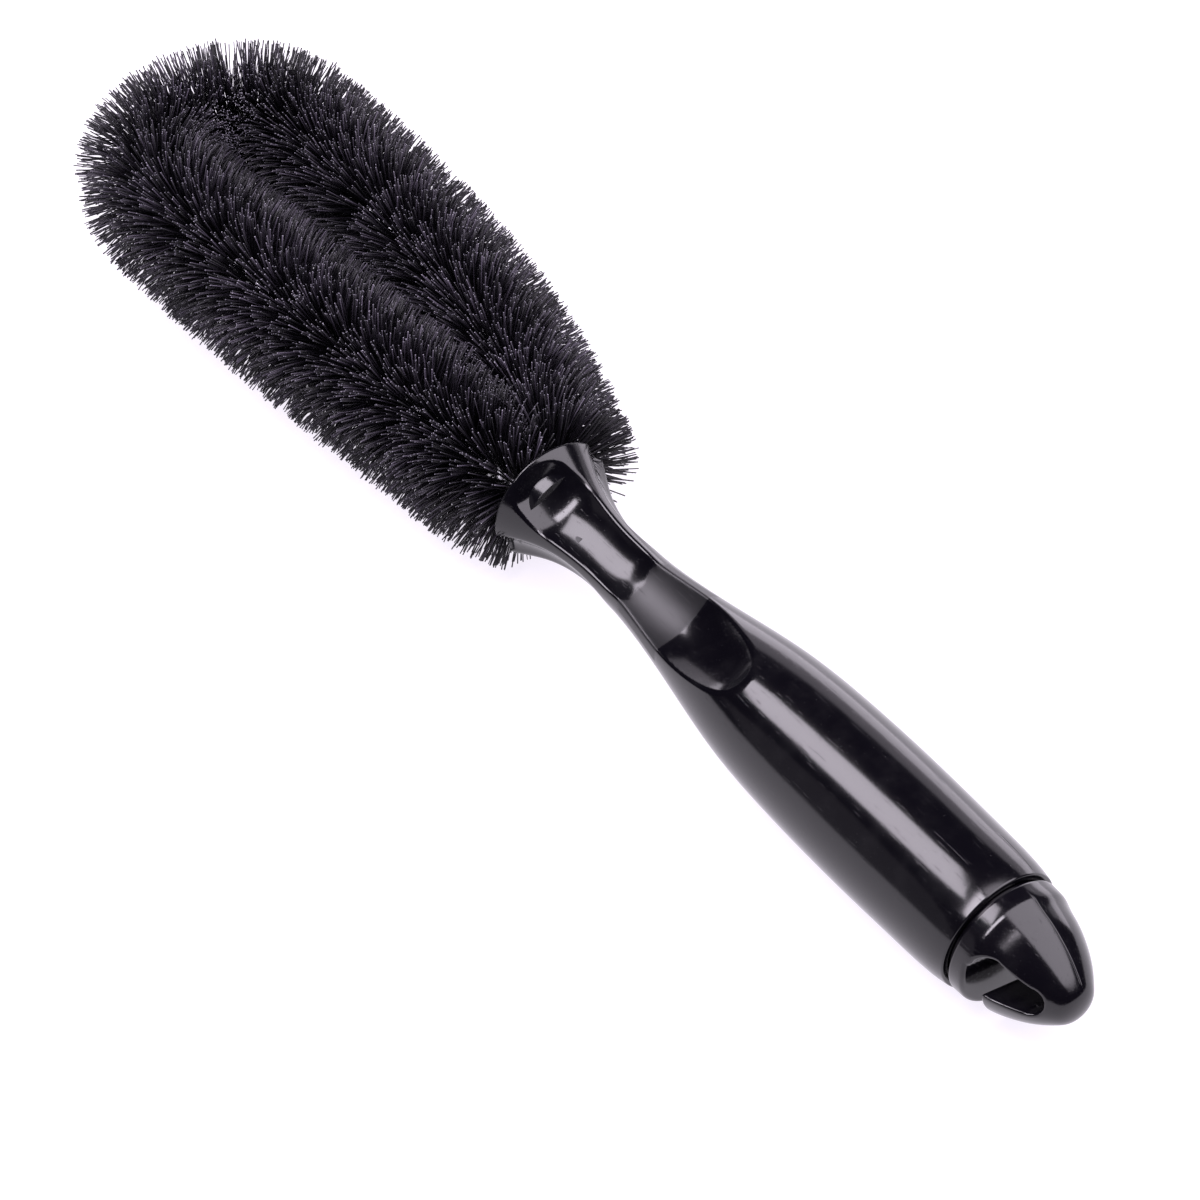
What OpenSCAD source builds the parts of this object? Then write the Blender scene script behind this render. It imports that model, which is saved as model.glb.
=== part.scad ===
// Wheel brush: a hollow moulded handle with a bell mouth, a hooked end cap, and a loop of twisted
// wire that carries a dense round brush. Millimetres, +X from the handle to the head, +Z up.
// Stations along the brush are measured from the joint between the handle and its end cap.

/* [Handle] */
// Length of the handle moulding, from the cap joint to the bell mouth
handle_len = 154.4; // [150:0.2:160]
// Radius of the grip at its thickest
grip_r = 16.4; // [15:0.1:17]
// Radius of the grip where it meets the cap
grip_end_r = 15.6; // [15:0.1:16]
// Radius of the neck at its thinnest
neck_r = 8.1; // [8:0.1:9]
// Radius of the bell mouth
bell_r = 15.4; // [14.6:0.1:16]
// Radius of the bore behind the grip, which takes the cap's spigot
grip_bore_r = 12.5; // [11.5:0.1:13]
// Width of the open groove between the handle and the cap
joint_gap = 1.2; // [0.8:0.1:2]

/* [Thumb rest] */
// Height of the thumb rest's floor above the handle's axis
rest_floor = 5.7; // [5.4:0.1:6.5]
// How far the thumb rest is turned from straight up, towards the left, in degrees
rest_turn = 27; // [0:1:40]
// Radius of the bell's flank hollows along the handle
flank_long_r = 39.3; // [38:0.1:42]
// Radius of the bell's flank hollows across the handle
flank_cross_r = 12; // [10:0.5:14]

/* [End cap] */
// Length of the cap behind the joint
cap_len = 24.6; // [24:0.1:27]
// Radius of the cap's collar
cap_r = 14.6; // [14:0.1:15]
// Length of the spigot inside the grip
spigot_len = 14; // [10:1:20]
// Radius of the hanging window's round end beside the collar
window_r = 4.5; // [4:0.1:4.8]
// Radius of the hanging window's round end beside the nose
window_nose_r = 3.2; // [2.6:0.1:3.6]
// Width of the hook's mouth, between the collar and the end of its lower leg
hook_mouth_w = 3.9; // [2.5:0.1:6]
// How far the cap is turned about its axis, left side up, in degrees
cap_turn = 15; // [0:1:30]

/* [Brush] */
// Radius of the wire's end bend, which is half of the two arms' spacing there
loop_r = 19.3; // [18:0.1:21]
// Half of the spacing of the two stems inside the plug
stem_half = 3; // [2.8:0.1:3.2]
// Station of the centre of the loop's end bend
bend_x = 288.7; // [270:0.1:300]
// How far the loop leans to one side of the handle's axis
loop_lean = 4.7; // [0:0.1:6]
// Radius over the tips of the bristles
bristle_r = 20; // [18:0.5:21]
// Diameter of each strand of the core wire
wire_d = 2.2; // [1.8:0.1:2.3]
// Length of one turn of the twisted core wire
twist_pitch = 9; // [8:0.5:12]

/* [Hidden] */
eps = 0.01;
tip_x = bend_x + loop_r + bristle_r;
mid_x = (tip_x - cap_len) / 2;
axis_z = bristle_r;

// Handle outline as station and radius, from the joint to the bell mouth
end_chamfer = 1;
HANDLE = [[joint_gap / 2 + end_chamfer, grip_end_r], [32, grip_r], [55, grip_r - 0.2],
          [68, grip_r - 0.8], [79, 14.5], [90, 12.7], [101, 10.7], [112, 9], [121, neck_r],
          [134, 8.6], [146, 11.3], [handle_len, bell_r]];

// Floor of the thumb rest as station and height above the axis, from the grip to the bell
REST = [[75.5, 16.2], [77, 14.3], [80.5, 12.8], [85, 11.3], [92, 9.1], [101.4, rest_floor + 1.1],
        [106, rest_floor + 0.5], [115, rest_floor + 0.1], [125, rest_floor], [132, rest_floor],
        [138, 6.4], [143.4, 7.4], [147.2, 9.2], [149.4, 10.6], [152.2, 13.2], [153.4, 16]];
flank_x = 132.5;
flank_depth = 7.3;
outline_steps = 5;

// Plug in the bell mouth: a round flange outside, a flat tongue with both stems inside
plug_mouth_x = 153;
flange_x = 149;
tongue_x = 137;
flange_r = 10.6;
tongue_half_w = 6.6;
tongue_half_h = 3.4;
stem_bore_r = 2.4;
fit = 0.05;

// Cap outline behind the joint as distance and radius; the nose is a round end
collar_len = 4.2;
CAP = [[collar_len + 0.7, cap_r - 0.3], [9.9, 12.7], [14.2, 11], [18.5, 8.6], [22, 5.8],
       [24, 3], [cap_len, 0]];
cap_cavity_r = 10.4;
window_x = 9.3;
window_nose_x = 17;
window_z = 0.6;
bead_r = 0.4;
bead_x = 9;
spigot_wall_x = 2.6;

// Wire route: a straight stem, an arm that opens into the loop, the bend, and back again
ring_step = 1.5;
arm_start_x = 156;
left_power = 1.3;
right_power = 3;
stem_end_x = tongue_x + 1.5;
bristle_start_x = 156.5;
bristle_mouth_r = 15;
bristle_full_x = 168;
brush_bore_r = wire_d + 0.25;
half_gap = 0.15;
bristle_sides = 24;
wire_sides = 6;

function lerp(a, b, t) = a + (b - a) * t;
function ease(t) = let (c = min(1, max(0, t))) c * c * (3 - 2 * c);

// Catmull-Rom curve through a list of points
function spline_at(p, i, t) =
    let (a = p[max(0, i - 1)], b = p[i], c = p[i + 1], d = p[min(len(p) - 1, i + 2)])
    0.5 * (2 * b + (c - a) * t + (2 * a - 5 * b + 4 * c - d) * t * t
           + (3 * b - a - 3 * c + d) * t * t * t);
function spline(p, n) =
    [for (i = [0 : len(p) - 2], k = [0 : n - 1]) spline_at(p, i, k / n), p[len(p) - 1]];

// Sideways place of one arm at a station; side is 1 on the left and -1 on the right
function arm_y(side, x) =
    let (t = min(1, max(0, (x - arm_start_x) / (bend_x - arm_start_x))))
    side * lerp(stem_half, loop_r - side * loop_lean,
                1 - pow(1 - t, side > 0 ? left_power : right_power));
function middle_y(x) = (arm_y(1, x) + arm_y(-1, x)) / 2;

// One arm's centre line as [x, y], from x0 to x1
function arm(side, x0, x1, n) =
    [for (i = [0 : n]) let (x = lerp(x0, x1, i / n)) [x, arm_y(side, x)]];
arm_steps = round((bend_x - stem_end_x) / ring_step);
bend_steps = round(PI * loop_r / ring_step);
BEND = [for (i = [1 : bend_steps - 1]) let (a = 90 - 180 * i / bend_steps)
        [bend_x + loop_r * cos(a), loop_r * sin(a) - loop_lean]];
RIGHT = arm(-1, stem_end_x, bend_x, arm_steps);
ROUTE = concat(arm(1, stem_end_x, bend_x, arm_steps), BEND,
               [for (i = [arm_steps : -1 : 0]) RIGHT[i]]);

// Unit direction and left-hand normal of a route at point i
function heading(p, i) =
    let (d = p[min(len(p) - 1, i + 1)] - p[max(0, i - 1)]) d / norm(d);
function normal(p, i) = let (d = heading(p, i)) [-d[1], d[0]];

// Ring of points round a place on a route, across it; offset is [sideways, up]
function ring(p, i, r, sides, offset = [0, 0]) =
    let (n = normal(p, i))
    [for (k = [0 : sides - 1]) let (a = 360 * k / sides, u = offset[0] + r * cos(a))
     [p[i][0] + u * n[0], p[i][1] + u * n[1], offset[1] + r * sin(a)]];

// Closed skin over a list of equal rings
function skin_faces(rings, sides) =
    concat([[for (k = [0 : sides - 1]) k]],
           [for (j = [0 : rings - 2], k = [0 : sides - 1])
            let (a = j * sides + k, b = j * sides + (k + 1) % sides)
            [a, a + sides, b + sides, b]],
           [[for (k = [sides - 1 : -1 : 0]) (rings - 1) * sides + k]]);

// Closed skin over outer rings and the inner rings of a bore, in one list of points
function bored_faces(rings, sides) =
    let (inner = rings * sides)
    concat([for (j = [0 : rings - 2], k = [0 : sides - 1])
            let (a = j * sides + k, b = j * sides + (k + 1) % sides)
            [a, a + sides, b + sides, b]],
           [for (j = [0 : rings - 2], k = [0 : sides - 1])
            let (a = inner + j * sides + k, b = inner + j * sides + (k + 1) % sides)
            [b, b + sides, a + sides, a]],
           [for (e = [0, 1], k = [0 : sides - 1])
            let (o = e * (rings - 1) * sides, a = o + k, b = o + (k + 1) % sides)
            e == 0 ? [b, inner + b, inner + a, a] : [a, inner + a, inner + b, b]]);

// Moves shapes drawn along stations, with the handle's axis at y = z = 0, to the brush's frame
module place() {
    translate([-mid_x, loop_lean, axis_z])
        children();
}

// A solid of revolution about the brush's axis, drawn as [radius, station]
module turned(points, detail = 96) {
    rotate([90, 0, 90])
        rotate_extrude($fn = detail)
            polygon(points);
}

// A ring-shaped cutter whose own axis lies across the handle
module ring_cutter(long_r, cross_r) {
    rotate([90, 0, 0])
        rotate_extrude($fn = 120)
            translate([long_r - cross_r, 0])
                circle(cross_r, $fn = 64);
}

module handle_outside() {
    turned(concat([[0, joint_gap / 2], [grip_end_r - end_chamfer, joint_gap / 2]],
                  [for (p = spline(HANDLE, outline_steps)) [p[1], p[0]]],
                  [[bell_r - 1.2, handle_len + 0.3], [0, handle_len + 0.3]]));
}

module thumb_rest_cutter() {
    floor_line = spline(REST, outline_steps);
    rotate([-rest_turn, 0, 0])
        translate([0, 30, 0])
            rotate([90, 0, 0])
                linear_extrude(60)
                    polygon(concat(floor_line, [[REST[len(REST) - 1][0], 30], [REST[0][0], 30]]));
}

// The hollow scooped out of each flank of the bell
module bell_scoop_cutter(side) {
    rotate([-rest_turn, 0, 0])
        translate([flank_x, side * (flank_depth + flank_long_r), 0])
            rotate([90, 0, 0])
                ring_cutter(flank_long_r, flank_cross_r);
}

module handle_hollow() {
    turned([[0, -1], [grip_bore_r, -1], [grip_bore_r, 62], [6, 84], [0, 84]], 72);
    rotate([0, 90, 0]) {
        translate([0, 0, bead_x])
            rotate_extrude($fn = 72)
                translate([grip_bore_r - 0.15, 0])
                    circle(bead_r + fit, $fn = 24);
        translate([0, 0, flange_x])
            cylinder(r = flange_r + fit, h = 10, $fn = 72);
    }
    tongue(tongue_half_w + fit, tongue_half_h + fit, tongue_x - fit, flange_x + 1);
}

// Flat bar with round edges along the brush's axis
module tongue(half_w, half_h, x0, x1) {
    for (side = [-1, 1])
        translate([x0, side * (half_w - half_h), 0])
            rotate([0, 90, 0])
                cylinder(r = half_h, h = x1 - x0, $fn = 48);
    translate([x0, -(half_w - half_h), -half_h])
        cube([x1 - x0, 2 * (half_w - half_h), 2 * half_h]);
}

module handle_shell() {
    color([0.06, 0.06, 0.08])
        place()
            difference() {
                handle_outside();
                thumb_rest_cutter();
                bell_scoop_cutter(1);
                bell_scoop_cutter(-1);
                handle_hollow();
            }
}

module end_cap() {
    color([0.06, 0.06, 0.08])
        place()
            difference() {
                union() {
                    mirror([1, 0, 0])
                        turned(concat([[0, joint_gap / 2], [cap_r - 0.4, joint_gap / 2],
                                       [cap_r, joint_gap / 2 + 0.4], [cap_r - 0.1, collar_len]],
                                      [for (p = spline(CAP, outline_steps)) [p[1], p[0]]]));
                    rotate([0, 90, 0]) {
                        translate([0, 0, -joint_gap])
                            cylinder(r = grip_bore_r - fit, h = spigot_len + joint_gap, $fn = 72);
                        translate([0, 0, -joint_gap])
                            cylinder(r = grip_bore_r + 0.9, h = 1.5 * joint_gap, $fn = 72);
                        translate([0, 0, bead_x])
                            rotate_extrude($fn = 72)
                                translate([grip_bore_r - 0.15, 0])
                                    circle(bead_r, $fn = 24);
                    }
                }
                rotate([0, 90, 0])
                    translate([0, 0, -spigot_wall_x])
                        cylinder(r = cap_cavity_r, h = 30, $fn = 72);
                rotate([cap_turn, 0, 0]) {
                    hanging_window();
                    hook_mouth();
                }
            }
}

// Window through the cap from flank to flank
module hanging_window() {
    translate([0, 30, window_z])
        rotate([90, 0, 0])
            linear_extrude(60)
                hull() {
                    translate([-window_x, 0])
                        circle(window_r, $fn = 48);
                    translate([-window_nose_x, 0])
                        circle(window_nose_r, $fn = 48);
                }
}

// Mouth that opens the window downward beside the collar, so the cap hangs as a hook
module hook_mouth() {
    translate([window_r - window_x - hook_mouth_w, -20, -20])
        cube([hook_mouth_w, 40, 20 + window_z]);
}

module wire_plug() {
    color([0.1, 0.1, 0.11])
        place()
            difference() {
                union() {
                    translate([flange_x, 0, 0])
                        rotate([0, 90, 0])
                            cylinder(r = flange_r, h = plug_mouth_x - flange_x, $fn = 72);
                    tongue(tongue_half_w, tongue_half_h, tongue_x, flange_x + eps);
                }
                for (side = [-1, 1])
                    translate([tongue_x + 1.2, side * stem_half, 0])
                        rotate([0, 90, 0])
                            cylinder(r = stem_bore_r, h = 30, $fn = 48);
            }
}

// One strand of the twisted pair; turn is the strand's start angle
module strand(turn) {
    rings = len(ROUTE);
    off = wire_d / 2 + 0.02;
    points = [for (i = [0 : rings - 1])
              let (a = turn + 360 * i * ring_step / twist_pitch)
              each ring(ROUTE, i, wire_d / 2, wire_sides, [off * cos(a), off * sin(a)])];
    place()
        polyhedron(points, skin_faces(rings, wire_sides), convexity = 10);
}

module core_wire_a() {
    color([0.62, 0.62, 0.64])
        strand(0);
}

module core_wire_b() {
    color([0.5, 0.5, 0.53])
        strand(180);
}

// Keeps a point on its own side of the line between the two arms
function own_side(p, side) =
    let (m = middle_y(p[0])) [p[0], m + side * max(half_gap, side * (p[1] - m)), p[2]];

// Envelope of one arm's bristles, with the bore that the wire runs through
module bristle_arm(side) {
    stations = 20;
    path = arm(side, bristle_start_x, bend_x, stations);
    outer = [for (i = [0 : stations])
             let (t = (path[i][0] - bristle_start_x) / (bristle_full_x - bristle_start_x),
                  r = lerp(bristle_mouth_r, bristle_r, ease(t)))
             each [for (q = ring(path, i, r, bristle_sides)) own_side(q, side)]];
    inner = [for (i = [0 : stations]) each ring(path, i, brush_bore_r, bristle_sides)];
    place()
        polyhedron(concat(outer, inner), bored_faces(stations + 1, bristle_sides), convexity = 6);
}

module bristles_left_arm() {
    color([0.09, 0.08, 0.11])
        bristle_arm(1);
}

module bristles_right_arm() {
    color([0.09, 0.08, 0.11])
        bristle_arm(-1);
}

// Envelope of the bristles round the loop's end bend
module bristles_tip_bend() {
    color([0.09, 0.08, 0.11])
        place()
            translate([bend_x + half_gap, -loop_lean, 0])
                rotate([0, 0, -90])
                    rotate_extrude(angle = 180, $fn = 96)
                        difference() {
                            intersection() {
                                translate([loop_r, 0])
                                    circle(bristle_r - half_gap, $fn = 64);
                                translate([half_gap, -30])
                                    square([60, 60]);
                            }
                            translate([loop_r, 0])
                                circle(brush_bore_r, $fn = 32);
                        }
}

handle_shell();
end_cap();
wire_plug();
core_wire_a();
core_wire_b();
bristles_left_arm();
bristles_right_arm();
bristles_tip_bend();
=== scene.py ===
"""A black wheel brush: a loop of dense bristles on twisted wire, a moulded handle and a hooked cap.

Shapes are worked out in millimetres along the brush: x is the station along its axis, counted
from the joint between the handle and the cap towards the head, y is to the left and z is up.
"""
import math

import bpy
import numpy as np
from mathutils import Matrix, Vector


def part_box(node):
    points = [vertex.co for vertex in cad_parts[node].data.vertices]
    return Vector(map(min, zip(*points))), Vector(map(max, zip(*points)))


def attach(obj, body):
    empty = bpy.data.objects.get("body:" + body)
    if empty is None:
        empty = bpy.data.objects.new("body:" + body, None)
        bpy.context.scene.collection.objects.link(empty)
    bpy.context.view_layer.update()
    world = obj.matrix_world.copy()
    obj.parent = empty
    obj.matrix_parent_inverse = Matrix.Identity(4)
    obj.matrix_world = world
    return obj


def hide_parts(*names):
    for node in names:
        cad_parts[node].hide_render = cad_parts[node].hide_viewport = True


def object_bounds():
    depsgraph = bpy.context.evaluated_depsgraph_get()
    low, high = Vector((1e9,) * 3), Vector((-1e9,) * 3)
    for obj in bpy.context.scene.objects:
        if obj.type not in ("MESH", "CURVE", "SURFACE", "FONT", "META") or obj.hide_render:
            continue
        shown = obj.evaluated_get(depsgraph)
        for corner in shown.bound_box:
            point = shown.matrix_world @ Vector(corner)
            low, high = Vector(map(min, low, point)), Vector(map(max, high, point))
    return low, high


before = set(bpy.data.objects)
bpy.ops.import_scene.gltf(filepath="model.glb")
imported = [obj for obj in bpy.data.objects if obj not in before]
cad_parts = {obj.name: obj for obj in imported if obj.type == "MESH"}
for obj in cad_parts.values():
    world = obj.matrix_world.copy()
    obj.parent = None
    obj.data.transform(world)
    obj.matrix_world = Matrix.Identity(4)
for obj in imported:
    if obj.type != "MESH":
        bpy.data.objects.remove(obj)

CAD_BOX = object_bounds()
MM = 0.001
TAU = 2 * math.pi

# ---------------------------------------------------------------- the brush's own measures, mm

JOINT_GAP = 1.2          # the open groove between the handle and the cap
HANDLE_END = 154.4       # station of the bell mouth
LOOP_R = 19.3            # radius of the wire's end bend
STEM_HALF = 3.0          # half the spacing of the two stems in the plug
ARM_START = 156.0        # where the arms begin to part
BEND_X = 288.7           # station of the centre of the loop's end bend
LEAN = 4.7               # how far the loop leans to the right
LEFT_POWER = 1.5         # how early the left arm opens
RIGHT_POWER = 3.0        # how early the right arm opens
STEM_END = 138.5         # station where the stems end inside the plug
HANDLE_TURN = math.radians(27)      # the thumb rest faces up and to the left
CAP_TURN = math.radians(15)         # the cap's left side is turned up
BRISTLE_R = 20.5         # reach of the filaments from the wire
WIRE_D = 2.2             # thickness of one strand
TWIST_PITCH = 9.0        # length of one turn of the twist

HANDLE_LOW, HANDLE_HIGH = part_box("handle_shell")
ORIGIN = np.array([HANDLE_LOW.x - JOINT_GAP / 2 * MM,
                   (HANDLE_LOW.y + HANDLE_HIGH.y) / 2,
                   (HANDLE_LOW.z + HANDLE_HIGH.z) / 2])


def to_frame(points):
    """Points in millimetres along the brush, as metres in the part's frame."""
    return np.asarray(points, float) * MM + ORIGIN


# ---------------------------------------------------------------- curves and fields

class Spline:
    """A natural cubic through (x, value) knots."""

    def __init__(self, knots):
        self.x, self.v = np.array(knots, float).T
        n = len(self.x)
        gap = np.diff(self.x)
        left = np.eye(n)
        right = np.zeros(n)
        for i in range(1, n - 1):
            left[i, i - 1:i + 2] = gap[i - 1], 2 * (gap[i - 1] + gap[i]), gap[i]
            right[i] = 6 * ((self.v[i + 1] - self.v[i]) / gap[i]
                            - (self.v[i] - self.v[i - 1]) / gap[i - 1])
        self.bend = np.linalg.solve(left, right)

    def __call__(self, x):
        x = np.clip(x, self.x[0], self.x[-1])
        i = np.clip(np.searchsorted(self.x, x) - 1, 0, len(self.x) - 2)
        gap = self.x[i + 1] - self.x[i]
        a, b = self.x[i + 1] - x, x - self.x[i]
        return ((self.bend[i] * a ** 3 + self.bend[i + 1] * b ** 3) / (6 * gap)
                + (self.v[i] / gap - self.bend[i] * gap / 6) * a
                + (self.v[i + 1] / gap - self.bend[i + 1] * gap / 6) * b)


def ease(t):
    t = np.clip(t, 0, 1)
    return t * t * (3 - 2 * t)


def hypot(a, b):
    return np.sqrt(a * a + b * b)


def both(a, b, fillet):
    """Inside both fields, with the edge between them rounded."""
    h = np.maximum(fillet - np.abs(a - b), 0)
    return np.maximum(a, b) + h * h / (4 * fillet)


def either(a, b, fillet):
    return -both(-a, -b, fillet)


def cut(a, b, fillet):
    return both(a, -b, fillet)


HANDLE_RADIUS = Spline([(0, 15.25), (3.5, 15.53), (7, 15.8), (16, 16.1), (32, 16.4), (55, 16.2),
                        (68, 15.6), (79, 14.5), (90, 12.7), (101, 10.7), (112, 9.0),
                        (119, 8.25), (128, 8.1), (136, 8.8), (146, 11.3),
                        (154.4, 15.4), (158, 17.2)])
# Floor of the thumb rest above the axis, in the middle
REST_FLOOR = Spline([(70, 19.5), (74, 17.2), (77, 14.3), (80.5, 11.95), (85, 9.95), (92, 7.3),
                     (101.4, 5.0), (108, 4.65), (114, 4.75), (117.8, 4.72), (121.8, 4.2),
                     (126, 4.1), (131, 4.3), (138, 4.6), (143.4, 5.4), (147.2, 7.1), (149.4, 8.7),
                     (152.2, 11.9), (153.4, 15.0), (155, 20)])
REST_ROUND = 16.0        # radius of the thumb rest's floor from side to side
CHAMFER_R = 14.98        # radius of the grip's rim at the joint
CHAMFER_RISE = 0.19      # how fast the rim's chamfer widens from there
HANDLE_BORE = 12.5       # radius of the hollow that takes the cap
# The hollow on either flank of the neck
FLANK_RING = {"centre_x": 132.5, "centre_z": 46.63, "long_r": 39.3, "cross_r": 12}


def ring_field(x, y, z, centre_x, centre_z, long_r, cross_r):
    """A torus whose own axis lies along y."""
    return hypot(hypot(x - centre_x, z - centre_z) - (long_r - cross_r), y) - cross_r


def rise(line, x):
    """Slope of a spline."""
    return (line(x + 0.05) - line(x - 0.05)) / 0.1


def handle_field(p):
    x, y, z = p
    c, s = math.cos(HANDLE_TURN), math.sin(HANDLE_TURN)
    across, up = y * c - z * s, z * c + y * s
    r = hypot(y, z)
    f = (r - HANDLE_RADIUS(x)) / np.sqrt(1 + rise(HANDLE_RADIUS, x) ** 2)
    chamfer = r - (CHAMFER_R + CHAMFER_RISE * (x - JOINT_GAP / 2))
    f = both(f, chamfer, 0.2)
    f = both(f, JOINT_GAP / 2 - x, 0.4)
    f = both(f, x - HANDLE_END, 0.7)
    rest = REST_FLOOR(x) + across ** 2 / (2 * REST_ROUND) - up
    f = cut(f, rest / np.sqrt(1 + rise(REST_FLOOR, x) ** 2 + (across / REST_ROUND) ** 2), 0.65)
    for side in (-1, 1):
        f = cut(f, ring_field(x, up, side * across, **FLANK_RING), 0.6)
    return f


def change(field, p, step):
    """How much a field changes along each axis, from one step before a point to one after it."""
    g = np.empty_like(p)
    for k in range(3):
        d = np.zeros((3, 1))
        d[k] = step
        g[k] = field(p + d) - field(p - d)
    return g


def slope_of(field, p, step=0.02):
    """Unit outward direction of a field."""
    g = change(field, p, step)
    return g / np.maximum(np.linalg.norm(g, axis=0), 1e-9)


# ---------------------------------------------------------------- meshes

def make_piece(name, verts, faces, node, finish, normals=None):
    """A smooth mesh piece from points in millimetres; it stands for a CAD node."""
    mesh = bpy.data.meshes.new(name)
    faces = faces.tolist() if isinstance(faces, np.ndarray) else faces
    mesh.from_pydata(to_frame(verts).tolist(), [], faces)
    mesh.materials.append(finish)
    mesh.shade_smooth()
    if normals is not None:
        mesh.normals_split_custom_set_from_vertices(normals.tolist())
    mesh.update()
    piece = bpy.data.objects.new(name, mesh)
    bpy.context.scene.collection.objects.link(piece)
    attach(piece, "root")
    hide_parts(node)
    return piece


def grid_faces(rows, columns):
    """Quads over rows of points that close round."""
    i, j = np.meshgrid(np.arange(rows - 1), np.arange(columns), indexing="ij")
    a = (i * columns + j).ravel()
    b = (i * columns + (j + 1) % columns).ravel()
    return np.stack([a, a + columns, b + columns, b], 1)


def end_faces(rows, columns):
    """The first and the last row as the two faces that close a tube."""
    first = list(range(columns))
    return [first, [(rows - 1) * columns + v for v in reversed(first)]]


# ---------------------------------------------------------------- shader maths

class Wire:
    """A shader socket; Python's operators on it add Math nodes."""

    def __init__(self, finish, socket):
        self.finish, self.socket = finish, socket

    def maths(self, operation, *values, clamp=False):
        settings = {"operation": operation, "use_clamp": clamp}
        return self.finish.node("ShaderNodeMath", settings, *values)

    def __add__(self, other):
        return self.maths("ADD", self, other)

    __radd__ = __add__

    def __mul__(self, other):
        return self.maths("MULTIPLY", self, other)

    __rmul__ = __mul__

    def __sub__(self, other):
        return self.maths("SUBTRACT", self, other)

    def __rsub__(self, other):
        return self.maths("SUBTRACT", other, self)

    def __abs__(self):
        return self.maths("ABSOLUTE", self)

    def clamp(self):
        return self.maths("ADD", self, 0, clamp=True)

    def step(self, low, high):
        """0 below low, 1 above high, smooth between."""
        return self.finish.node("ShaderNodeMapRange", {"interpolation_type": "SMOOTHSTEP"},
                                self, low, high, 0, 1)


class Finish:
    """A material and the one method that adds its nodes."""

    def __init__(self, name):
        self.material = bpy.data.materials.new(name)
        self.material.use_nodes = True
        self.tree = self.material.node_tree
        self.tree.nodes.clear()
        self.shader = self.tree.nodes.new("ShaderNodeBsdfPrincipled")
        out = self.tree.nodes.new("ShaderNodeOutputMaterial")
        self.tree.links.new(self.shader.outputs[0], out.inputs[0])

    def feed(self, socket, value):
        if isinstance(value, Wire):
            self.tree.links.new(value.socket, socket)
        elif value is not None:
            socket.default_value = value

    def node(self, kind, settings=None, *values, output=0, **named):
        made = self.tree.nodes.new(kind)
        for key, value in (settings or {}).items():
            setattr(made, key, value)
        inputs = [s for s in made.inputs if s.enabled]
        for socket, value in zip(inputs, values):
            self.feed(socket, value)
        for key, value in named.items():
            self.feed(next(s for s in inputs if s.name == key.replace("_", " ")), value)
        outputs = [s for s in made.outputs if s.enabled]
        return Wire(self, outputs[output])

    def set(self, **inputs):
        """Feeds the shader's own sockets."""
        for key, value in inputs.items():
            self.feed(self.shader.inputs[key.replace("_", " ")], value)

    def places(self):
        """The surface point in metres, the same at every view."""
        return self.node("ShaderNodeTexCoord", output=3)

    def noise(self, scale, detail=2.0, roughness=0.5, at=None):
        return self.node("ShaderNodeTexNoise", {"noise_dimensions": "3D"},
                         Vector=at or self.places(), Scale=scale, Detail=detail,
                         Roughness=roughness)

    def stretched(self, scale, turn=(0, 0, 0)):
        return self.node("ShaderNodeMapping", {"vector_type": "POINT"}, Vector=self.places(),
                         Scale=scale, Rotation=turn)

    def bump(self, height, distance, strength=1.0, normal=None):
        return self.node("ShaderNodeBump", None, Height=height, Distance=distance,
                         Strength=strength, Normal=normal)

    def blend(self, mask, low, high):
        """Colour low where mask is 0 and high where it is 1."""
        made = self.tree.nodes.new("ShaderNodeMix")
        made.data_type = "RGBA"
        sockets = [s for s in made.inputs if s.enabled]
        for socket, value in zip(sockets, (mask, low, high)):
            self.feed(socket, value)
        return Wire(self, next(s for s in made.outputs if s.enabled))


def moulded_plastic(name, tint, seam_angle, seam_from, seam_to, satin_rest=False):
    """Polished black moulding: faint waves from shrinkage, rub marks, specks of dust and the
    mould's parting line, at an angle round the axis and between two stations in millimetres."""
    f = Finish(name)
    waves = f.noise(60, 1.0)
    rubs = f.noise(1.0, 2.0, at=f.stretched((120, 2600, 2600), (0.0, 0.1, 0.12))).step(0.62, 0.78)
    haze = f.noise(160, 4.0, 0.6)
    specks = f.noise(2400, 1.0).step(0.76, 0.8)
    split = ("ShaderNodeSeparateXYZ", None, f.places())
    x, y, z = (f.node(*split, output=k) for k in range(3))
    y, z = y - float(ORIGIN[1]), z - float(ORIGIN[2])
    turn = math.radians(seam_angle)
    off = abs(z * math.cos(turn) - y * math.sin(turn))
    above = (y * math.cos(turn) + z * math.sin(turn)).step(0.0, 0.002)
    station = x - float(ORIGIN[0])
    seam = above * (1 - off.step(0.00008, 0.00028))
    seam = seam * station.step(seam_from * MM, (seam_from + 1.5) * MM)
    seam = seam * (1 - station.step((seam_to - 4) * MM, seam_to * MM))
    dark = (*tint, 1)
    dusty = (*(0.018 + c for c in tint), 1)
    colour = f.blend(specks * 0.35 + haze.step(0.45, 0.8) * 0.12, dark, dusty)
    rough = 0.10 + 0.08 * haze + 0.12 * rubs + 0.2 * specks
    if satin_rest:
        rest_up = z * math.cos(HANDLE_TURN) + y * math.sin(HANDLE_TURN)
        ragged = station + (f.noise(260, 3.0) - 0.5) * 0.006
        satin = station.step(101.2 * MM, 102.2 * MM)
        satin = satin * (1 - ragged.step(116.5 * MM, 118.5 * MM))
        satin = satin * rest_up.step(3.5 * MM, 4 * MM)
        rough = rough + 0.27 * satin
    surface = f.bump(waves, 0.0012, 0.05)
    surface = f.bump(rubs, 0.00002, 0.5, surface)
    surface = f.bump(1 - seam, 0.0001, 0.7, surface)
    f.set(Base_Color=colour, Roughness=rough, Normal=surface, IOR=1.5, Specular_IOR_Level=0.5)
    return f.material


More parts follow.
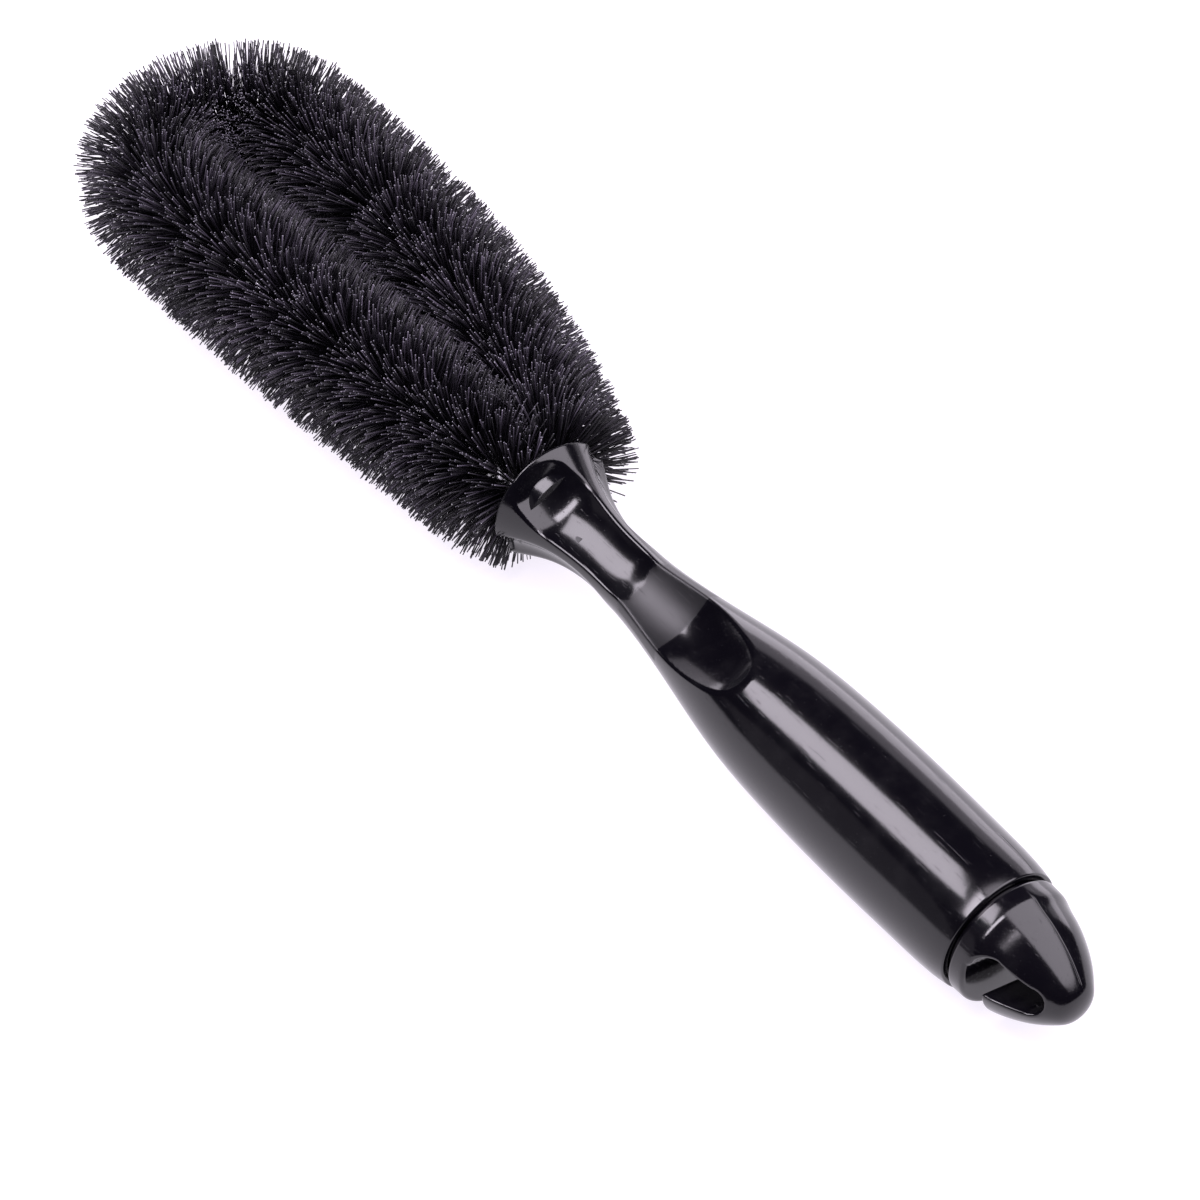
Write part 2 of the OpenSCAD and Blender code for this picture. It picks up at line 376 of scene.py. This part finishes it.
def filament_plastic(name, tint, sheen_tint, rough):
    f = Finish(name)
    # Painted sheen: the base colour is lightened towards each filament's tip, by an amount that
    # varies from filament to filament, in place of glints
    painted_sheen = f.node("ShaderNodeAttribute",
                   {"attribute_name": "painted_sheen", "attribute_type": "GEOMETRY"}, output=2)
    fine = f.noise(900, 2.0)
    mask = (painted_sheen * (0.6 + 0.6 * fine)).clamp()
    f.set(Base_Color=f.blend(mask, (*tint, 1), (*sheen_tint, 1)), Roughness=rough + 0.15 * fine,
          IOR=1.52, Specular_IOR_Level=0.25)
    return f.material


def galvanised_wire(name):
    f = Finish(name)
    grain = f.noise(1500, 3.0, 0.6)
    bloom = f.noise(250, 4.0).step(0.45, 0.7)
    f.set(Base_Color=f.blend(bloom, (0.42, 0.42, 0.44, 1), (0.62, 0.62, 0.63, 1)),
          Roughness=0.3 + 0.25 * grain, Metallic=1.0, Normal=f.bump(grain, 0.00003, 0.4))
    return f.material


def plain_moulding(name):
    f = Finish(name)
    grain = f.noise(1800, 3.0, 0.6)
    f.set(Base_Color=f.blend(grain, (0.02, 0.02, 0.022, 1), (0.04, 0.04, 0.042, 1)),
          Roughness=0.45 + 0.2 * grain, Normal=f.bump(grain, 0.00005, 0.4))
    return f.material


HANDLE_BLACK = moulded_plastic("handle black gloss", (0.002, 0.0018, 0.003), 125, 1, 14, True)
CAP_BLACK = moulded_plastic("cap black gloss", (0.0025, 0.0022, 0.0036), 104, -23, -2)
PLUG_BLACK = plain_moulding("plug black matt")
WIRE_ZINC = galvanised_wire("wire zinc")
# The second colour is the painted sheen that the filaments take towards their tips
BRISTLE_BLACK = filament_plastic("bristle black satin", (0.0015, 0.0012, 0.0025),
                                 (0.075, 0.064, 0.09), 0.36)
# The cut tips are painted a lighter grey: partly the cut ends' own paler colour, partly a painted
# glint
TIP_GREY = filament_plastic("bristle cut tip", (0.10, 0.095, 0.12), (0.30, 0.28, 0.33), 0.35)


# ---------------------------------------------------------------- handle

def handle_centre_z(x):
    """Height of the line inside the handle that its skin is seen whole from."""
    return -1.0 * ease((x - 85) / 22) * (1 - ease((x - 132) / 18))


def outside_radius(field, x, angle, centre_z):
    """How far the skin is from the inner line at each station and angle."""
    low = np.zeros_like(x)
    high = np.full_like(x, 22.0)
    for _ in range(26):
        mid = (low + high) / 2
        inside = field(np.stack([x, mid * np.cos(angle), centre_z + mid * np.sin(angle)])) < 0
        low = np.where(inside, mid, low)
        high = np.where(inside, high, mid)
    return (low + high) / 2


def build_handle():
    round_count = 240
    joint_face = JOINT_GAP / 2
    # Rows are close together at both rims and over the thumb rest
    from_joint = np.array([0.012, 0.05, 0.12, 0.22, 0.35, 0.55, 0.9, 1.4, 2.0, 2.5, 2.9, 3.3, 3.8,
                           4.6, 6.0])
    from_mouth = np.array([1.6, 1.35, 1.1, 0.9, 0.7, 0.5, 0.35, 0.22, 0.12, 0.05, 0.012])
    stations = np.concatenate([joint_face + from_joint,
                               np.arange(8.0, 76.0, 1.7), np.arange(76.5, 152.6, 0.29),
                               HANDLE_END - from_mouth])
    angle = TAU * np.arange(round_count) / round_count
    x, a = (g.ravel() for g in np.meshgrid(stations, angle, indexing="ij"))
    cz = handle_centre_z(x)
    r = outside_radius(handle_field, x, a, cz)
    skin = np.stack([x, r * np.cos(a), cz + r * np.sin(a)])
    normals = slope_of(handle_field, skin)
    # The inner wall as stations and radii: the bell mouth's recess, and the bore for the cap
    mouth = [(HANDLE_END, 13.2), (HANDLE_END, 11.8), (HANDLE_END - 0.25, 11.4), (153.0, 11.3),
             (149.0, 10.7), (149.0, 0.01)]
    bore = [(84.0, 0.01), (84.0, 6.0), (62.0, HANDLE_BORE), (15.0, HANDLE_BORE),
            (joint_face + 0.3, HANDLE_BORE), (joint_face, HANDLE_BORE + 0.3), (joint_face, 14.0)]
    c, s = np.cos(angle), np.sin(angle)

    def lathe(pairs):
        """Pairs of axial and outward parts, of points or of directions, turned about the axis."""
        return np.concatenate([np.stack([np.full(round_count, axial), outward * c, outward * s])
                               for axial, outward in pairs], 1)

    tail, head = lathe(bore), lathe(mouth)
    tail_n = lathe([(-1, 0), (-.3, -.95), (-.15, -1), (0, -1), (0, -1), (-.7, -.7), (-1, 0)])
    head_n = lathe([(1, 0), (.9, -.4), (.3, -.95), (0, -1), (.2, -.98), (1, 0)])
    verts = np.concatenate([tail, skin, head], 1).T
    norms = np.concatenate([tail_n, normals, head_n], 1).T
    rows = len(bore) + len(stations) + len(mouth)
    faces = grid_faces(rows, round_count)[:, ::-1].tolist() + end_faces(rows, round_count)
    return make_piece("handle_moulding", verts, faces, "handle_shell",
                      HANDLE_BLACK, norms)


# ---------------------------------------------------------------- end cap

# The cone's radius squared at each distance behind the joint
CAP_SQUARE = Spline([(-2, 240), (2, 220), (4.4, 207), (6.5, 186.0), (9.9, 160), (14.2, 120),
                     (18.5, 73), (22.1, 33), (24.6, 0), (27, -70)])
COLLAR_R = 14.6          # radius of the collar at the joint
COLLAR_TAPER = 0.035     # how fast the collar narrows behind it
NECK_R = 13.3            # the floor of the open groove
SPIGOT_R = 12.42         # the spigot goes into the handle's bore
SPIGOT_REACH = 14
SPIGOT_BORE = 10.4
BORE_DEPTH = 2.6         # how far the spigot's bore runs into the cap
ROOT_DEPTH = 3           # how far the neck and the spigot run into the cap
WINDOW_B = 9.3           # centre of the window's wide end, behind the joint
WINDOW_RUN = 7.7         # from there to the centre of the narrow end
WINDOW_R = 4.5           # radius of the wide end
WINDOW_TAPER = 1.3       # how much smaller the radius of the narrow end is
WINDOW_UP = 0.6          # height of the wide end's centre
MOUTH_B = 6.75           # middle of the mouth, behind the joint
MOUTH_HALF = 1.95        # half the mouth's width


def cap_field(p):
    """The cap; b is the distance behind the joint."""
    x, y, z = p
    b = -x
    c, s = math.cos(CAP_TURN), math.sin(CAP_TURN)
    up = z * c - y * s
    r = hypot(y, z)
    f = (r * r - CAP_SQUARE(b)) / np.sqrt(4 * r * r + rise(CAP_SQUARE, b) ** 2 + 1)
    f = both(f, r - COLLAR_R + COLLAR_TAPER * b, 0.25)
    f = both(f, JOINT_GAP / 2 - b, 0.5)
    neck = np.maximum(r - NECK_R, np.maximum(b - ROOT_DEPTH, -JOINT_GAP / 2 - b))
    spigot = both(r - SPIGOT_R, -SPIGOT_REACH - b, 0.8)
    spigot = np.maximum(spigot, b - ROOT_DEPTH)
    f = np.minimum(np.minimum(f, neck), spigot)
    f = cut(f, both(r - SPIGOT_BORE, b - BORE_DEPTH, 0.6), 0.3)
    # Window from flank to flank, and the mouth that opens it downward beside the collar
    t = np.clip((b - WINDOW_B) / WINDOW_RUN, 0, 1)
    window = (hypot(b - (WINDOW_B + WINDOW_RUN * t), up - WINDOW_UP * (1 - t))
              - (WINDOW_R - WINDOW_TAPER * t))
    mouth = np.maximum(np.abs(b - MOUTH_B) - MOUTH_HALF, up - WINDOW_UP)
    return cut(f, either(window, mouth, 1.2), 1.0)


def surface_net(field, low, high, step):
    """Quads over a field's surface, with one point in each cell that it crosses."""
    low, high = np.array(low, float), np.array(high, float)
    count = np.ceil((high - low) / step).astype(int) + 1
    axes = [low[k] + step * np.arange(count[k]) for k in range(3)]
    grid = np.stack(np.meshgrid(*axes, indexing="ij"))
    value = field(grid.reshape(3, -1)).reshape(count)
    inside = value < 0
    cells = tuple(count - 1)
    total = np.zeros((3, *cells))
    crossings = np.zeros(cells)

    def corner(a, i, j, k):
        return a[i:i + cells[0], j:j + cells[1], k:k + cells[2]]

    offsets = [(i, j, k) for i in (0, 1) for j in (0, 1) for k in (0, 1)]
    for a in offsets:
        for axis in range(3):
            if a[axis]:
                continue
            b = tuple(v + (n == axis) for n, v in enumerate(a))
            va, vb = corner(value, *a), corner(value, *b)
            crossed = (va < 0) != (vb < 0)
            t = np.where(crossed, va / np.where(crossed, va - vb, 1), 0)
            for n in range(3):
                total[n] += crossed * (a[n] + (n == axis) * t)
            crossings += crossed
    used = crossings > 0
    index = np.full(cells, -1)
    index[used] = np.arange(used.sum())
    where = np.argwhere(used).T
    verts = low[:, None] + step * (where + total[:, used] / crossings[used])
    faces = []
    for axis in range(3):
        u, v = (axis + 1) % 3, (axis + 2) % 3
        lo = [slice(1, -1)] * 3
        lo[axis] = slice(0, -1)
        hi = list(lo)
        hi[axis] = slice(1, None)
        a, b = inside[tuple(lo)], inside[tuple(hi)]
        for rising in (True, False):
            edge = np.argwhere(a & ~b if rising else ~a & b)
            shift = np.ones(3, int)
            shift[axis] = 0
            base = edge + shift
            ring = []
            for du, dv in ((1, 1), (0, 1), (0, 0), (1, 0)):
                c = base.copy()
                c[:, u] -= du
                c[:, v] -= dv
                ring.append(index[c[:, 0], c[:, 1], c[:, 2]])
            ring = np.stack(ring, 1)
            faces.append(ring if rising else ring[:, ::-1])
    return verts, np.concatenate(faces)


def settle(field, verts, rounds=6, step=0.02):
    """Moves points onto a field's surface."""
    for _ in range(rounds):
        g = change(field, verts, step) / (2 * step)
        share = field(verts) / np.maximum((g * g).sum(0), 0.2)
        verts = verts - np.clip(share, -0.2, 0.2) * g
    return verts


def build_cap():
    verts, faces = surface_net(cap_field, (-25.5, -15.4, -15.4), (14.9, 15.4, 15.4), 0.33)
    verts = settle(cap_field, verts)
    return make_piece("hook_cap", verts.T, faces, "end_cap", CAP_BLACK,
                      slope_of(cap_field, verts, 0.05).T)


# ---------------------------------------------------------------- wire and plug

def arm_y(side, x):
    """Sideways place of an arm at a station; side is 1 on the left and -1 on the right."""
    t = np.clip((x - ARM_START) / (BEND_X - ARM_START), 0, 1)
    power = LEFT_POWER if side > 0 else RIGHT_POWER
    return side * (STEM_HALF + (LOOP_R - side * LEAN - STEM_HALF) * (1 - (1 - t) ** power))


def loop_route(step=0.25):
    """The wire's middle line from the left stem round the loop to the right one, at even steps."""
    x = np.arange(STEM_END, BEND_X, 0.1)
    left = np.stack([x, arm_y(1, x)], 1)
    a = math.pi / 2 - math.pi * np.arange(1, 600) / 600
    bend = np.stack([BEND_X + LOOP_R * np.cos(a), -LEAN + LOOP_R * np.sin(a)], 1)
    right = np.stack([x, arm_y(-1, x)], 1)[::-1]
    path = np.concatenate([left, bend, right])
    run = np.concatenate([[0], np.cumsum(np.linalg.norm(np.diff(path, axis=0), axis=1))])
    even = np.arange(0, run[-1], step)
    path = np.stack([np.interp(even, run, path[:, k]) for k in (0, 1)], 1)
    tangent = np.gradient(path, axis=0)
    tangent /= np.linalg.norm(tangent, axis=1, keepdims=True)
    return even, path, tangent


RUN, PATH, TANGENT = loop_route()


def on_route(run):
    """Centre, tangent and sideways direction at distances along the wire, as 3-D rows."""
    def at_run(line):
        x, y = (np.interp(run, RUN, line[:, k]) for k in (0, 1))
        return np.stack([x, y, 0 * run], 1)

    centre, tangent = at_run(PATH), at_run(TANGENT)
    tangent /= np.linalg.norm(tangent, axis=1, keepdims=True)
    side = np.stack([-tangent[:, 1], tangent[:, 0], 0 * run], 1)
    return centre, tangent, side


def build_strand(name, node, turn):
    """One strand, wound round the other along the route."""
    run = np.arange(0.2, RUN[-1] - 0.2, 0.55)
    centre, _, side = on_route(run)
    up = np.array([0, 0, 1.0])
    a = turn + TAU * run / TWIST_PITCH
    offset = WIRE_D / 2 + 0.01
    line = centre + offset * (np.cos(a)[:, None] * side + np.sin(a)[:, None] * up)
    along = np.gradient(line, axis=0)
    along /= np.linalg.norm(along, axis=1, keepdims=True)
    out = (line - centre) / offset
    out -= (out * along).sum(1, keepdims=True) * along
    out /= np.linalg.norm(out, axis=1, keepdims=True)
    third = np.cross(along, out)
    sides = 12
    k = TAU * np.arange(sides) / sides
    ring = (line[:, None] + WIRE_D / 2 * (np.cos(k)[None, :, None] * out[:, None]
                                          + np.sin(k)[None, :, None] * third[:, None]))
    rows = len(run)
    faces = grid_faces(rows, sides).tolist() + end_faces(rows, sides)
    return make_piece(name, ring.reshape(-1, 3), [f[::-1] for f in faces], node,
                      WIRE_ZINC)


# ---------------------------------------------------------------- bristles

FILAMENT_R = 0.16        # half a filament's thickness
BRISTLE_START = 158.5    # station of the first filaments
ROW_SPREAD = 0.7         # spread of a row's filaments round the wire, in radians
TUFT_PITCH = 1.4         # distance between uneven tufts along the wire
TUFTS = 400              # more than the whole wire has
BELL_RUN = 9             # filaments this close to the bell mouth lie otherwise
CLEAR_X = 155.8          # filaments lean so that they stay in front of this station
CLEAR_REACH = 17
# Uneven lay of the tufts along the wire, the same for both sides of a joint between stretches
UNEVEN = np.random.default_rng(7).normal(0, 1, (2, 4, TUFTS))


def build_bristles(name, node, run_from, run_to, row, seed, per_mm=30.0):
    """Loose filaments along a stretch of the wire, in one of the twist's two rows."""
    rng = np.random.default_rng(seed)
    count = int((run_to - run_from) * per_mm)
    run = np.sort(rng.uniform(run_from, run_to, count))
    centre, tangent, side = on_route(run)
    up = np.array([0, 0, 1.0])
    angle = TAU * run / TWIST_PITCH + math.pi * row + rng.normal(0, ROW_SPREAD, count)
    # The last of these sets how much painted sheen each tuft's filaments get
    swing, lean, clip, tuft_sheen = (np.interp(run / TUFT_PITCH, np.arange(TUFTS), line)
                              for line in UNEVEN[row])
    angle += 0.16 * swing
    out = np.cos(angle)[:, None] * side + np.sin(angle)[:, None] * up
    turn = -np.sin(angle)[:, None] * side + np.cos(angle)[:, None] * up
    axial = rng.normal(0, 0.05, count) + 0.07 * lean
    length = BRISTLE_R * rng.uniform(0.92, 1.0, count)
    length *= np.minimum(1, 1 + 0.03 * clip)
    near = 1 - ease((centre[:, 0] - BRISTLE_START) / BELL_RUN)
    on_left = centre[:, 1] > 0
    length *= 1 - np.where(on_left, 0.1, -0.04) * near
    axial -= np.where(on_left, 0.25, 0.15) * near
    axial = np.maximum(axial, (CLEAR_X - centre[:, 0]) / CLEAR_REACH)
    # Filaments between the two arms stop near the middle line
    middle = (arm_y(1, centre[:, 0]) + arm_y(-1, centre[:, 0])) / 2
    reach = out[:, 1] * length
    own = np.sign(centre[:, 1] - middle)
    room = np.abs(centre[:, 1] - middle) + rng.uniform(-0.5, 2.5, count)
    crossing = (out[:, 1] * own < 0) & (np.abs(reach) > room) & (centre[:, 0] < BEND_X - 1)
    shorter = np.where(crossing, room / np.maximum(np.abs(reach), 1e-6), 1.0)
    length = length * np.clip(shorter, 0.25, 1.0)
    bow = rng.normal(0, 1.1, count)
    sag = rng.normal(0, 0.8, count)
    u = np.array([0.06, 0.4, 0.72, 1.0])
    direction = (out + axial[:, None] * tangent)[:, None]
    spine = (centre[:, None] + length[:, None, None] * u[None, :, None] * direction
             + (bow[:, None] * u ** 2)[:, :, None] * turn[:, None]
             + (sag[:, None] * u ** 2)[:, :, None] * tangent[:, None])
    along = np.gradient(spine, axis=1)
    along /= np.linalg.norm(along, axis=2, keepdims=True)
    spin = rng.uniform(0, TAU, count)
    across = np.cos(spin)[:, None] * tangent + np.sin(spin)[:, None] * turn
    across = across[:, None] - (across[:, None] * along).sum(2, keepdims=True) * along
    across /= np.linalg.norm(across, axis=2, keepdims=True)
    third = np.cross(along, across)
    sides = 4
    k = TAU * np.arange(sides) / sides
    thick = FILAMENT_R * rng.uniform(0.9, 1.1, count)[:, None] * np.array([1.0, 1.0, 0.97, 0.9])
    around = (np.cos(k)[None, None, :, None] * across[:, :, None]
              + np.sin(k)[None, None, :, None] * third[:, :, None])
    ring = spine[:, :, None] + thick[:, :, None, None] * around
    rows = len(u)
    one = grid_faces(rows, sides)[:, ::-1]
    tip = np.arange((rows - 1) * sides, rows * sides)[None]
    root = np.arange(sides)[::-1][None]
    pattern = np.concatenate([one, tip, root])
    faces = (pattern[None] + (np.arange(count) * rows * sides)[:, None, None]).reshape(-1, 4)
    piece = make_piece(name, ring.reshape(-1, 3), faces, node, BRISTLE_BLACK)
    mesh = piece.data
    # The cut tip faces get the lighter tip finish, partly a painted glint
    mesh.materials.append(TIP_GREY)
    kinds = np.zeros(len(pattern), np.int32)
    kinds[len(one)] = 1      # the cut tip
    mesh.polygons.foreach_set("material_index", np.tile(kinds, count))
    smooth = np.arange(len(pattern)) < len(one)
    mesh.polygons.foreach_set("use_smooth", np.tile(smooth, count))
    # Painted sheen per point: lighter towards the tip, by a random amount per filament and per tuft
    painted_sheen = mesh.attributes.new("painted_sheen", "FLOAT", "POINT")
    tone = rng.uniform(0, 1, count) ** 2.5 * np.clip(0.65 + 0.35 * tuft_sheen, 0.2, 1.2)
    tone = tone[:, None, None] * np.array([0.1, 0.35, 0.7, 1.0])[None, :, None]
    tone = np.broadcast_to(tone, (count, rows, sides)).astype(np.float32)
    painted_sheen.data.foreach_set("value", tone.ravel())
    return piece


# ---------------------------------------------------------------- the pieces

build_handle()
build_cap()
build_strand("wire_strand_a", "core_wire_a", 0.0)
build_strand("wire_strand_b", "core_wire_b", math.pi)


def run_at(side, x):
    """Distance along the wire where an arm passes a station."""
    half = len(PATH) // 2
    if side > 0:
        return float(np.interp(x, PATH[:half, 0], RUN[:half]))
    return float(np.interp(x, PATH[half:, 0][::-1], RUN[half:][::-1]))


FIRST, ARM_END = run_at(1, BRISTLE_START), run_at(1, BEND_X)
BEND_END, LAST = run_at(-1, BEND_X), run_at(-1, BRISTLE_START)
STRETCHES = [("left_arm", "bristles_left_arm", FIRST, ARM_END),
             ("tip_bend", "bristles_tip_bend", ARM_END, BEND_END),
             ("right_arm", "bristles_right_arm", BEND_END, LAST)]
for place, (stretch, node, start, end) in enumerate(STRETCHES):
    for row in (0, 1):
        build_bristles(f"bristles_{stretch}_row_{row + 1}", node, start, end, row, 10 * place + row)

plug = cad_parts["wire_plug"]
plug.data.materials.clear()
plug.data.materials.append(PLUG_BLACK)

# ---------------------------------------------------------------- floor, light and camera

LOW, HIGH = CAD_BOX
CENTRE = (LOW + HIGH) / 2
VIEW_AZIMUTH = math.radians(-37.04)     # heading of the view over the floor, from +X
VIEW_ELEVATION = math.radians(47.61)
VIEW_DISTANCE = 0.8561
LENS = 117.0
AIM = CENTRE + Vector((-0.0292, 0.0144, 0.0))
AIM.z = ORIGIN[2]

FORWARD = Vector((math.cos(VIEW_AZIMUTH) * math.cos(VIEW_ELEVATION),
                  math.sin(VIEW_AZIMUTH) * math.cos(VIEW_ELEVATION), -math.sin(VIEW_ELEVATION)))
STUDIO_TINT = (0.96, 0.89, 1.0)         # colour of all the light
HEAD_REST, GRIP_REST = 172, 42          # stations where the head and the grip touch the table


def add_camera():
    data = bpy.data.cameras.new("camera")
    data.lens, data.sensor_width = LENS, 36.0
    camera = bpy.data.objects.new("camera", data)
    bpy.context.scene.collection.objects.link(camera)
    camera.location = AIM - FORWARD * VIEW_DISTANCE
    camera.rotation_euler = FORWARD.to_track_quat("-Z", "Y").to_euler()
    bpy.context.scene.camera = camera


def add_floor():
    """A pale lit table that the head and the grip both lie on."""
    f = Finish("pale table")
    grain = f.noise(30, 2.0)
    f.set(Base_Color=f.blend(grain, (0.20, 0.20, 0.20, 1), (0.22, 0.22, 0.22, 1)), Roughness=0.6,
          Emission_Color=(0.95, 0.90, 1.0, 1), Emission_Strength=0.92)
    size = 3.0               # half the table's side
    mesh = bpy.data.meshes.new("table")
    head_x = ORIGIN[0] + HEAD_REST * MM
    grip_x, grip_z = ORIGIN[0] + GRIP_REST * MM, HANDLE_LOW.z
    slope = grip_z / (grip_x - head_x)
    corners = [(x * size, y * size, slope * (x * size - head_x) - 0.0001)
               for x, y in ((-1, -1), (1, -1), (1, 1), (-1, 1))]
    mesh.from_pydata(corners, [], [(0, 1, 2, 3)])
    mesh.materials.append(f.material)
    table = bpy.data.objects.new("table", mesh)
    bpy.context.scene.collection.objects.link(table)


def add_panel(name, corner, long_side, short_side, radiance):
    """A soft rectangular light. Its corner, in metres from the middle of the handle, and its two
    sides are given so that their cross product points away from the brush."""
    corner, long_side, short_side = Vector(corner), Vector(long_side), Vector(short_side)
    data = bpy.data.lights.new(name, "AREA")
    data.shape, data.size, data.size_y = "RECTANGLE", long_side.length, short_side.length
    data.energy = radiance * math.pi * long_side.length * short_side.length
    data.color = STUDIO_TINT
    lamp = bpy.data.objects.new(name, data)
    bpy.context.scene.collection.objects.link(lamp)
    along = long_side.normalized()
    away = along.cross(short_side).normalized()
    assert away.dot(corner + (long_side + short_side) / 2) > 0, name
    turn = Matrix((along, away.cross(along), away)).transposed().to_4x4()
    middle = Vector(to_frame((75, 0, 0))) + corner + (long_side + short_side) / 2
    lamp.matrix_world = Matrix.Translation(middle) @ turn
    lamp.visible_camera = False
    return lamp


def add_world():
    world = bpy.data.worlds.new("studio")
    world.use_nodes = True
    back = world.node_tree.nodes["Background"]
    back.inputs["Color"].default_value = (*STUDIO_TINT, 1)
    back.inputs["Strength"].default_value = 0.3
    world.cycles_visibility.glossy = False
    bpy.context.scene.world = world


add_camera()
add_floor()
add_panel("key softbox", (0.31, 0.0, 1), (0.91, 0.27, 0), (-0.17, 0.57, 0), 10.5)
add_panel("end softbox", (-0.16, 0.12, 1), (0.22, 0, 0), (0, 0.95, 0), 16)
add_panel("back softbox", (0.05, 0.05, 1), (-1.5, 0, 0), (0, -1.3, 0), 4.5)
add_panel("side card", (0.1, 0.9, -0.02), (-0.35, 0, 0.4), (0.9, 0, 0), 0.25)
add_panel("far card", (1.2, -0.2, -0.05), (0.03, -0.03, 0.36), (-1.3, -1.3, 0), 3.6)
add_panel("far card top", (1.23, -0.23, 0.31), (0.07, -0.07, 0.4), (-1.3, -1.3, 0), 1.1)
add_world()
bpy.context.scene.view_settings.view_transform = "Standard"
